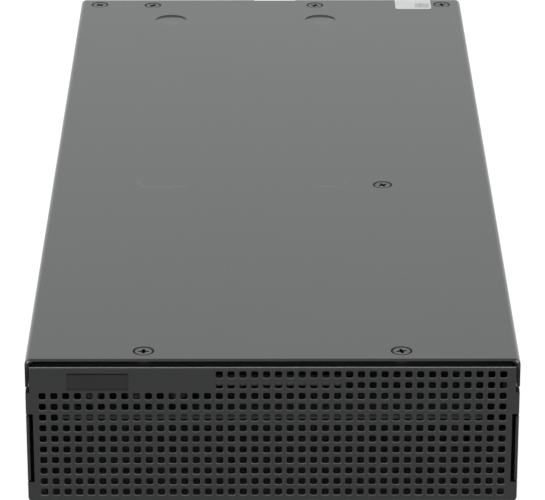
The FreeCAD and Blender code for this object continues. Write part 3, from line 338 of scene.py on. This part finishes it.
def pressings(paint, rise, flat):
    """Walls of the two round pressings painted pale, as painted light where they lie in shade. Returns how
    dull their floors are.
    """
    inner = paint.band(paint.axis(1), cover_low.y + SHEET, cover_high.y - SHEET, PRESSED_WALL_SOFT)
    upright = paint.falling(paint.math("ABSOLUTE", rise), *WALL_RISE)
    # Painted light: the upright walls of the pressings are tinted pale.
    paint.tint(paint.product(upright, flat, inner), PRESSED_WALL_LIGHT)
    sunk = paint.falling(paint.axis(2), cover_high.z - PRESSED_DEPTH, cover_high.z - PRESSED_START)
    return paint.product(sunk, paint.rising(rise, *FLOOR_RISE), flat, PRESSED_DULLNESS)


def rubbed_cover():
    """The cover's coat, painted lighter on top as sheen, with the pale rubs across its middle, painted shade
    in the screw seats and painted light on the pressing walls, over a bare underside.
    """
    paint = coat("cover_coat", COVER_SHEEN_TONE, COVER_GLOSS)
    for start, end in RUBS:
        rub = stroke(paint, on_cover(*start), on_cover(*end))
        paint.tint(paint.product(rub, RUB_AMOUNT), RUB_TONE)
    rise = paint.facing("Z")
    flat = paint.math("LESS_THAN", paint.math("ABSOLUTE", paint.axis(0)), cover_high.x - SIDE_BEND)
    # The top keeps its painted sheen; the bends and sides take the coat's own tone.
    side = paint.math("SUBTRACT", paint.falling(rise, *SIDE_TURN), flat)
    paint.tint(side, CASE_TONE)
    skirt_ends = front_edge_and_glints(paint)
    floors = pressings(paint, rise, flat)
    # Painted shade: the countersunk seats round the screw heads are painted dark.
    seats = paint.product(paint.band(rise, *SEAT_RISE, SEAT_SOFT), flat)
    paint.tint(seats, PAINTED_SHADE)
    dull = paint.largest(skirt_ends, seats, floors)
    paint.set(Specular_IOR_Level=paint.spread(dull, COVER_GLOSS, DULL_GLOSS, 0.0, 1.0))
    under = paint.product(upper_part(paint), paint.falling(rise, *UNDER_TURN))
    paint.tint(under, plated(paint))
    return paint


# Grille: painted highlights on the lower rim of each hole, stronger low down, painted light on the flange
# under the cover, and painted shade on the walls behind the rims

# Soft rim that the coat gives each hole, as its width and its depth.
RIM = 0.42 * mm
RIM_DEPTH = 0.25 * mm
RIM_RISE = (0.2, 0.9)
RIM_SOFT = 0.05
# Depths below the top at which the upright face ends and the upper bend begins.
FACE_DEPTH = 2.0 * mm
BEND_DEPTH = 1.9 * mm
# Painted highlights on the lower rims of the holes, in patches, stronger low down.
RIM_HIGHLIGHT_TONE = 0.15
RIM_HIGHLIGHT_SIZE = 2.8 * mm
RIM_HIGHLIGHT_LEAST = 0.45
RIM_HIGHLIGHT_PATCHES = (0.38, 0.62)
RIM_HIGHLIGHT_AT_TOP = 0.6
# Level part of the upper flange, from behind its bend, painted lighter as painted light under the cover.
FLANGE_LIGHT = 0.11
FLANGE_RISE = (0.95, 0.99)
FLANGE_START = 1.0 * mm
FLANGE_FULL = 1.6 * mm
# Share of the rim's depth at which a hole's wall starts to darken with painted shade, and how dark it gets.
WALL_START = 0.6
WALL_SHADE = 0.95


def lit_rim_grille():
    """The case's coat, with painted highlights on the lower rim of each hole, painted light on the upper
    flange and painted shade on the hole walls.
    """
    paint = coat("grille_coat", CASE_TONE, CASE_GLOSS)
    rise = paint.facing("Z")
    depth = paint.axis(1)
    height = paint.axis(2)
    face = paint.falling(height, panel_high.z - FACE_DEPTH, panel_high.z - BEND_DEPTH)
    rim = paint.band(rise, *RIM_RISE, RIM_SOFT)
    # Painted highlight: the lower rim of each hole is tinted pale.
    patchy = paint.spread(paint.noise(RIM_HIGHLIGHT_SIZE), RIM_HIGHLIGHT_LEAST, 1.0, *RIM_HIGHLIGHT_PATCHES)
    more_low_down = paint.spread(height, 1.0, RIM_HIGHLIGHT_AT_TOP, panel_low.z, panel_high.z)
    paint.tint(paint.product(rim, face, patchy, more_low_down), RIM_HIGHLIGHT_TONE)
    # Painted light: the level flange under the cover is tinted paler.
    level = paint.rising(rise, *FLANGE_RISE)
    sheltered = paint.rising(depth, panel_low.y + FLANGE_START, panel_low.y + FLANGE_FULL)
    paint.tint(paint.product(level, sheltered, paint.opposite(face)), FLANGE_LIGHT)
    # Painted shade: the walls of the holes darken behind the rims.
    wall = (panel_low.y + WALL_START * RIM_DEPTH, panel_low.y + RIM_DEPTH)
    paint.tint(paint.product(paint.spread(depth, 0.0, WALL_SHADE, *wall), face), PAINTED_SHADE)
    return paint


# Tray: coated outside, bare on its floor within

TRAY_FLOOR = 3 * SHEET
TRAY_FLOOR_RISE = (0.9, 0.95)


def bare_inside():
    paint = coat("tray_coat", CASE_TONE, CASE_GLOSS)
    floor_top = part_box("chassis_tray")[0].z + TRAY_FLOOR
    level = paint.rising(paint.facing("Z"), *TRAY_FLOOR_RISE)
    paint.tint(paint.product(level, paint.math("LESS_THAN", paint.axis(2), floor_top)), plated(paint))
    return paint


# Smaller pieces with a finish of their own

# Painted shade along the top of the grey strip.
STRIP_TOP_SHADE = 0.02
STRIP_TOP_DEPTHS = (1.0 * mm, 0.4 * mm)
BOARD_EDGE_TONE = (0.215, 0.255, 0.24)
BOARD_EDGE_RISE = (0.3, 0.7)
PLATE_GLOSS = 0.28
LENS_CLEARNESS = 0.6
# Screw heads: radius, width of the painted shade at the rim and its soft side, size of the recess and the
# depths in it over which painted shade sets in.
HEAD = 2.65 * mm
HEAD_RIM = 0.25 * mm
HEAD_RIM_SOFT = 0.42 * mm
RECESS_SIZES = (0.6 * mm, 0.95 * mm)
RECESS_DEPTHS = (0.3 * mm, 0.08 * mm)
HEAD_GLOSS = 0.5
RECESS_GLOSS = 0.06
# Longer than the part, to start the search for the nearest screw.
FAR = 1.0
# Points closer together than this are one.
WELD = 1e-6
# Sticker: the grey field as shares of its width and depth.
FIELD_ACROSS = (0.55, 0.95)
FIELD_DEEP = (0.15, 0.62)
FIELD_SOFT = 0.25 * mm
FIELD_TONE = 0.26
FIELD_GRAIN = 0.9 * mm
FIELD_LEAST = 0.15
FIELD_MOST = 0.9
PAPER_DARK = 0.62
PAPER_LIGHT = 0.67
PAPER_CLOUD = 4.0 * mm
PAPER_ROUGHNESS = 0.5


def satin_plate():
    """Smooth black plate with little gloss."""
    paint = two_tone(
        "badge_satin", 0.014, 0.019, size=4.0 * mm, rough=0.28, grain=FINE_GRAIN, grain_size=0.4 * mm
    )
    paint.set(Specular_IOR_Level=PLATE_GLOSS)
    return paint


def grey_strip():
    """Grey steel strip, with painted shade along its top."""
    paint = two_tone("grey_steel", 0.10, 0.14, size=4.0 * mm, rough=0.5, metal=0.2)
    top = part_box("panel_stiffener")[1].z
    start, end = (top - depth for depth in STRIP_TOP_DEPTHS)
    # Painted shade: the strip's top is tinted dark.
    paint.tint(paint.rising(paint.axis(2), start, end), STRIP_TOP_SHADE)
    return paint


def solder_mask():
    """Grey-green face and darker cut edge of a circuit board."""
    paint = two_tone(
        "solder_mask", (0.26, 0.34, 0.30), (0.31, 0.40, 0.35), size=6.0 * mm, rough=0.35, grain=FINE_GRAIN
    )
    edge = paint.falling(paint.math("ABSOLUTE", paint.facing("Z")), *BOARD_EDGE_RISE)
    paint.tint(edge, BOARD_EDGE_TONE)
    return paint


def loose_centres(name):
    """Middle of each separate solid of a node, seen from above."""
    mesh = bmesh.new()
    mesh.from_mesh(nodes[name].data)
    bmesh.ops.remove_doubles(mesh, verts=mesh.verts, dist=WELD)
    left = set(mesh.verts)
    centres = []
    while left:
        solid = [left.pop()]
        for vert in solid:
            for edge in vert.link_edges:
                other = edge.other_vert(vert)
                if other in left:
                    left.remove(other)
                    solid.append(other)
        xs = [vert.co.x for vert in solid]
        ys = [vert.co.y for vert in solid]
        centres.append(((min(xs) + max(xs)) / 2, (min(ys) + max(ys)) / 2))
    mesh.free()
    return sorted(centres)


def screw_heads():
    """Black screw heads, with painted shade at the rim and in the recess."""
    paint = two_tone("screw_heads", 0.048, 0.058, size=1.5 * mm, rough=0.3, grain=FINE_GRAIN)
    flat = paint.vector("MULTIPLY", paint.place, FROM_ABOVE)
    distance = FAR
    for x, y in loose_centres("cover_screws"):
        reach = paint.vector("DISTANCE", flat, (x, y, 0.0), output="Value")
        distance = paint.math("MINIMUM", reach, distance)
    rim = paint.rising(distance, HEAD - HEAD_RIM_SOFT, HEAD - HEAD_RIM)
    middle = paint.falling(distance, *RECESS_SIZES)
    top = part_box("cover_screws")[1].z
    start, end = (top - depth for depth in RECESS_DEPTHS)
    # Painted shade at the rim, over the middle and down in the recess.
    dark = paint.largest(rim, middle, paint.falling(paint.axis(2), start, end))
    paint.tint(dark, PAINTED_SHADE)
    paint.set(Specular_IOR_Level=paint.spread(dark, HEAD_GLOSS, RECESS_GLOSS, 0.0, 1.0))
    return paint


def clear_lens():
    paint = two_tone("clear_lens", (0.55, 0.66, 0.56), (0.65, 0.75, 0.66), size=1.0 * mm, rough=0.15)
    paint.set(Transmission_Weight=LENS_CLEARNESS)
    return paint


def sticker():
    """Pale sticker with one grey field."""
    paint = Paint("sticker")
    low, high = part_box("rear_sticker")
    field = []
    for index, shares in enumerate((FIELD_ACROSS, FIELD_DEEP)):
        start, end = (low[index] + share * (high - low)[index] for share in shares)
        field.append(paint.band(paint.axis(index), start, end, FIELD_SOFT))
    mottled = paint.spread(paint.noise(FIELD_GRAIN), FIELD_LEAST, FIELD_MOST)
    cloud = paint.spread(paint.noise(PAPER_CLOUD, TONE_DETAIL), 0.0, 1.0)
    paint.set(Base_Color=paint.mix(cloud, PAPER_DARK, PAPER_LIGHT), Roughness=PAPER_ROUGHNESS)
    paint.tint(paint.product(*field, mottled), FIELD_TONE)
    return paint


# Which finish each piece has

case = coat("case_coat", CASE_TONE, CASE_GLOSS)
cover = rubbed_cover()
grille = lit_rim_grille()
tray = bare_inside()
plate = satin_plate()
oxide = two_tone("black_oxide", 0.05, 0.062, size=1.5 * mm, rough=0.38, grain=FINE_GRAIN)
dark_oxide = two_tone("dark_oxide", 0.012, 0.018, size=1.5 * mm, rough=0.45, grain=FINE_GRAIN)
zinc = two_tone("zinc_plate", 0.40, 0.50, size=12.0 * mm, rough=0.33, metal=1.0, stretch=ROLLED)
tin = two_tone("dull_steel", 0.13, 0.17, size=10.0 * mm, rough=0.5, metal=0.8)
black = two_tone("black_moulding", 0.012, 0.018, size=6.0 * mm, rough=0.42, grain=MOULDED_GRAIN)
gold = two_tone(
    "contact_brass", (0.62, 0.44, 0.17), (0.74, 0.55, 0.24), size=3.0 * mm, rough=0.3, metal=1.0
)
copper = two_tone(
    "bar_copper", (0.62, 0.30, 0.16), (0.72, 0.38, 0.22), size=10.0 * mm, rough=0.35, metal=1.0
)
sleeve = two_tone(
    "capacitor_sleeve", (0.015, 0.018, 0.03), (0.02, 0.025, 0.045), size=5.0 * mm, rough=0.25
)
ferrite = two_tone("ferrite", 0.03, 0.045, size=4.0 * mm, rough=0.6, grain=MOULDED_GRAIN)
alloy = two_tone("extruded_alloy", 0.6, 0.7, size=8.0 * mm, rough=0.35, metal=1.0, stretch=EXTRUDED)
tab = two_tone(
    "latch_moulding", (0.30, 0.075, 0.03), (0.36, 0.10, 0.04), size=6.0 * mm, rough=0.42, grain=MOULDED_GRAIN
)

FINISH = {
    case: ("rear_panel",),
    tray: ("chassis_tray",),
    grille: ("front_panel",),
    cover: ("top_cover",),
    plate: ("badge_plate",),
    screw_heads(): ("cover_screws",),
    oxide: ("psu_screws",),
    dark_oxide: ("front_spacers", "bracket_nuts"),
    zinc: (
        "psu_case", "psu_face", "psu_lid", "earth_screw", "earth_washer", "latch_pin",
        "board_screws",
    ),
    grey_strip(): ("panel_stiffener",),
    tin: ("bay_wall_left", "bay_wall_right", "board_posts", "psu_board_posts"),
    black: (
        "psu_receptacle", "output_socket_lower", "output_socket_upper", "ac_inlet", "fan_frame", "fan_rotor",
        "handle_ears", "pull_handle",
    ),
    solder_mask(): ("distribution_board", "psu_board"),
    gold: ("output_pins", "inlet_pins"),
    copper: ("bus_bars",),
    sleeve: ("board_capacitors", "psu_capacitors"),
    ferrite: ("psu_transformer",),
    alloy: ("psu_heat_sinks",),
    tab: ("release_latch",),
    clear_lens(): ("status_lens", "psu_lens"),
    sticker(): ("rear_sticker",),
}
for paint, names in FINISH.items():
    for name in names:
        nodes[name].data.materials.clear()
        nodes[name].data.materials.append(paint.material)


# Grille sheet: the panel again, with the soft rims and rounded corners that the coat gives its holes

PITCH = 3.26 * mm
HOLE = 1.9 * mm
CORNER = 0.45 * mm
CORNER_STEPS = 4
RIM_STEPS = 3
COLUMNS = 40
# Fields of holes, as first column, first row and number of rows; both end at the last column.
FIELDS = ((0, 0, 10), (15, 10, 2))
TOP_BEND = 1.1 * mm
# Least room between a hole and the upper end of its field.
HEADROOM = 0.01 * mm
CUT_MARGIN = 1e-7
SHEET_MARGIN = 1.05


def column_x(column):
    return (column - (COLUMNS - 1) / 2) * PITCH


def row_z(row):
    """Height of a row of holes; the first is one pitch above the panel's lower end."""
    return panel_low.z + PITCH + row * PITCH


def window(first_column, first_row, rows):
    """Edges of a field: left, right, low, high."""
    high = min(row_z(first_row + rows - 0.5), panel_high.z - TOP_BEND)
    return column_x(first_column - 0.5), column_x(COLUMNS - 0.5), row_z(first_row - 0.5), high


def hole_outline(grow):
    """Rounded square, counter-clockwise from its right side, grown by some distance."""
    reach = HOLE / 2 - CORNER
    points = []
    for corner, (side, rise) in enumerate(((1, 1), (-1, 1), (-1, -1), (1, -1))):
        for step in range(CORNER_STEPS + 1):
            angle = math.radians(90 * (corner + step / CORNER_STEPS))
            x = side * reach + (CORNER + grow) * math.cos(angle)
            z = rise * reach + (CORNER + grow) * math.sin(angle)
            points.append((x, z))
    return points


def wall_sections():
    """Growth and depth of a hole's wall, from the front over its rim to the back of the sheet."""
    turns = [math.pi / 2 * step / RIM_STEPS for step in range(RIM_STEPS + 1)]
    rim = [(RIM * (1 - math.sin(turn)), RIM_DEPTH * (1 - math.cos(turn))) for turn in turns]
    return rim + [(0.0, SHEET)]


def add_hole(mesh, x, z, high):
    """One hole with its share of the sheet, up to a height."""
    half = PITCH / 2
    top = min(half, high - z)

    def points(places, depth, ceiling):
        return [mesh.verts.new((x + px, panel_low.y + depth, z + min(pz, ceiling))) for px, pz in places]

    rings = [points(hole_outline(grow), depth, top - HEADROOM) for grow, depth in wall_sections()]
    count = len(rings[0])
    for ring, deeper in zip(rings, rings[1:]):
        for i in range(count):
            j = (i + 1) % count
            mesh.faces.new((ring[i], ring[j], deeper[j], deeper[i]))
    square = ((half, top), (-half, top), (-half, -half), (half, -half))
    for ring, depth, turn in ((rings[0], 0.0, 1), (rings[-1], SHEET, -1)):
        outer = points(square, depth, top)
        for k, corner in enumerate(outer):
            following = outer[(k + 1) % len(outer)]
            start = k * (CORNER_STEPS + 1) + CORNER_STEPS // 2
            inner = [ring[i % count] for i in range(start, start + CORNER_STEPS + 2)]
            mesh.faces.new(([corner, following] + inner[::-1])[::turn])


def cut_windows(mesh, windows):
    """Take the sheet out of the panel where the fields of holes go."""
    for left, right, low, high in windows:
        cuts = [((x, 0, 0), (1, 0, 0)) for x in (left, right)]
        cuts += [((0, 0, z), (0, 0, 1)) for z in (low, high)]
        for place, normal in cuts:
            everything = mesh.verts[:] + mesh.edges[:] + mesh.faces[:]
            bmesh.ops.bisect_plane(mesh, geom=everything, dist=CUT_MARGIN, plane_co=place, plane_no=normal)
    gone = []
    for face in mesh.faces:
        x, y, z = face.calc_center_median()
        in_sheet = y < panel_low.y + SHEET * SHEET_MARGIN
        if in_sheet and any(left < x < right and low < z < high for left, right, low, high in windows):
            gone.append(face)
    bmesh.ops.delete(mesh, geom=gone, context="FACES")


def soft_panel():
    """The panel's sheet with soft holes, which stands in for the front panel."""
    node = nodes["front_panel"]
    mesh = bmesh.new()
    mesh.from_mesh(node.data)
    mesh.transform(node.matrix_world)
    cut_windows(mesh, [window(*field) for field in FIELDS])
    for first_column, first_row, rows in FIELDS:
        *_, high = window(first_column, first_row, rows)
        for row in range(first_row, first_row + rows):
            for column in range(first_column, COLUMNS):
                add_hole(mesh, column_x(column), row_z(row), high)
    data = bpy.data.meshes.new("grille_panel")
    mesh.to_mesh(data)
    mesh.free()
    if "custom_normal" in data.attributes:
        data.attributes.remove(data.attributes["custom_normal"])
    data.shade_flat()
    data.materials.clear()
    data.materials.append(grille.material)
    panel = bpy.data.objects.new("grille_panel", data)
    bpy.context.scene.collection.objects.link(panel)
    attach(panel, "shelf")
    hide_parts("front_panel")


soft_panel()


# Stage: white floor and surround, even soft light, one softbox overhead

scene = bpy.context.scene
scene.view_settings.view_transform = "Standard"

# Level of the surround as a light, and how much of its light the floor sends back.
SURROUND = 0.35
FLOOR_TONE = 0.25
# Level at which the floor is seen and mirrored, over the light that it sends back.
FLOOR_WHITE = 0.85
FLOOR_SIZE = 6.0
# Gap that keeps the floor from coinciding with the tray's base.
FLOOR_GAP = 0.5 * mm
LAMP_PLACE = (0.0, -0.9, 2.6)
LAMP_WIDTH = 1.5
LAMP_DEPTH = 0.8
LAMP_POWER = 52.0


def seen_directly(tree):
    """1 where the camera, a mirroring surface or a clear one looks, 0 where light is gathered."""
    path = tree.nodes.new("ShaderNodeLightPath")
    value = path.outputs["Is Camera Ray"]
    for kind in ("Is Glossy Ray", "Is Transmission Ray"):
        either = tree.nodes.new("ShaderNodeMath")
        either.operation = "MAXIMUM"
        tree.links.new(value, either.inputs[0])
        tree.links.new(path.outputs[kind], either.inputs[1])
        value = either.outputs[0]
    return value


def between(tree, amount, low, high):
    """Level from low, where the amount is 0, to high, where it is 1."""
    node = tree.nodes.new("ShaderNodeMapRange")
    tree.links.new(amount, node.inputs["Value"])
    node.inputs["To Min"].default_value = low
    node.inputs["To Max"].default_value = high
    return node.outputs[0]


def white_floor():
    bpy.ops.mesh.primitive_plane_add(size=FLOOR_SIZE, location=(0.0, 0.0, -FLOOR_GAP))
    floor = bpy.context.object
    floor.name = "floor"
    ground = bpy.data.materials.new("floor_white")
    ground.use_nodes = True
    tree = ground.node_tree
    tree.nodes.clear()
    glow = tree.nodes.new("ShaderNodeEmission")
    tree.links.new(between(tree, seen_directly(tree), 0.0, FLOOR_WHITE), glow.inputs["Strength"])
    lit = tree.nodes.new("ShaderNodeBsdfDiffuse")
    lit.inputs["Color"].default_value = tone(FLOOR_TONE)
    both = tree.nodes.new("ShaderNodeAddShader")
    tree.links.new(glow.outputs[0], both.inputs[0])
    tree.links.new(lit.outputs[0], both.inputs[1])
    out = tree.nodes.new("ShaderNodeOutputMaterial")
    tree.links.new(both.outputs[0], out.inputs["Surface"])
    floor.data.materials.append(ground)
    return floor


def white_surround():
    world = bpy.data.worlds.new("studio")
    world.use_nodes = True
    tree = world.node_tree
    tree.nodes.clear()
    back = tree.nodes.new("ShaderNodeBackground")
    back.inputs["Color"].default_value = tone(1.0)
    tree.links.new(between(tree, seen_directly(tree), SURROUND, 1.0), back.inputs["Strength"])
    out = tree.nodes.new("ShaderNodeOutputWorld")
    tree.links.new(back.outputs[0], out.inputs["Surface"])
    return world


def softbox():
    """Wide lamp over the shelf, turned to its middle."""
    data = bpy.data.lights.new("overhead", "AREA")
    data.shape = "RECTANGLE"
    data.size = LAMP_WIDTH
    data.size_y = LAMP_DEPTH
    data.energy = LAMP_POWER
    lamp = bpy.data.objects.new("overhead", data)
    lamp.location = LAMP_PLACE
    lamp.rotation_euler = (-Vector(LAMP_PLACE)).to_track_quat("-Z", "Y").to_euler()
    scene.collection.objects.link(lamp)


white_floor()
scene.world = white_surround()
softbox()


# Camera: in front of the shelf and above it, with a long lens

LENS = 222.95
SENSOR = 36.0
CLIP_NEAR = 0.05
CLIP_FAR = 50.0
CAMERA_PLACE = (-0.00178, -1.00212, 0.42482)
# Angles in degrees: below the level, and to the side.
CAMERA_TILT = 22.419
CAMERA_TURN = -0.1193

data = bpy.data.cameras.new("camera")
data.sensor_width = SENSOR
data.lens = LENS
data.clip_start = CLIP_NEAR
data.clip_end = CLIP_FAR
camera = bpy.data.objects.new("camera", data)
camera.location = CAMERA_PLACE
camera.rotation_euler = (math.radians(90.0 - CAMERA_TILT), 0.0, math.radians(CAMERA_TURN))
scene.collection.objects.link(camera)
scene.camera = camera
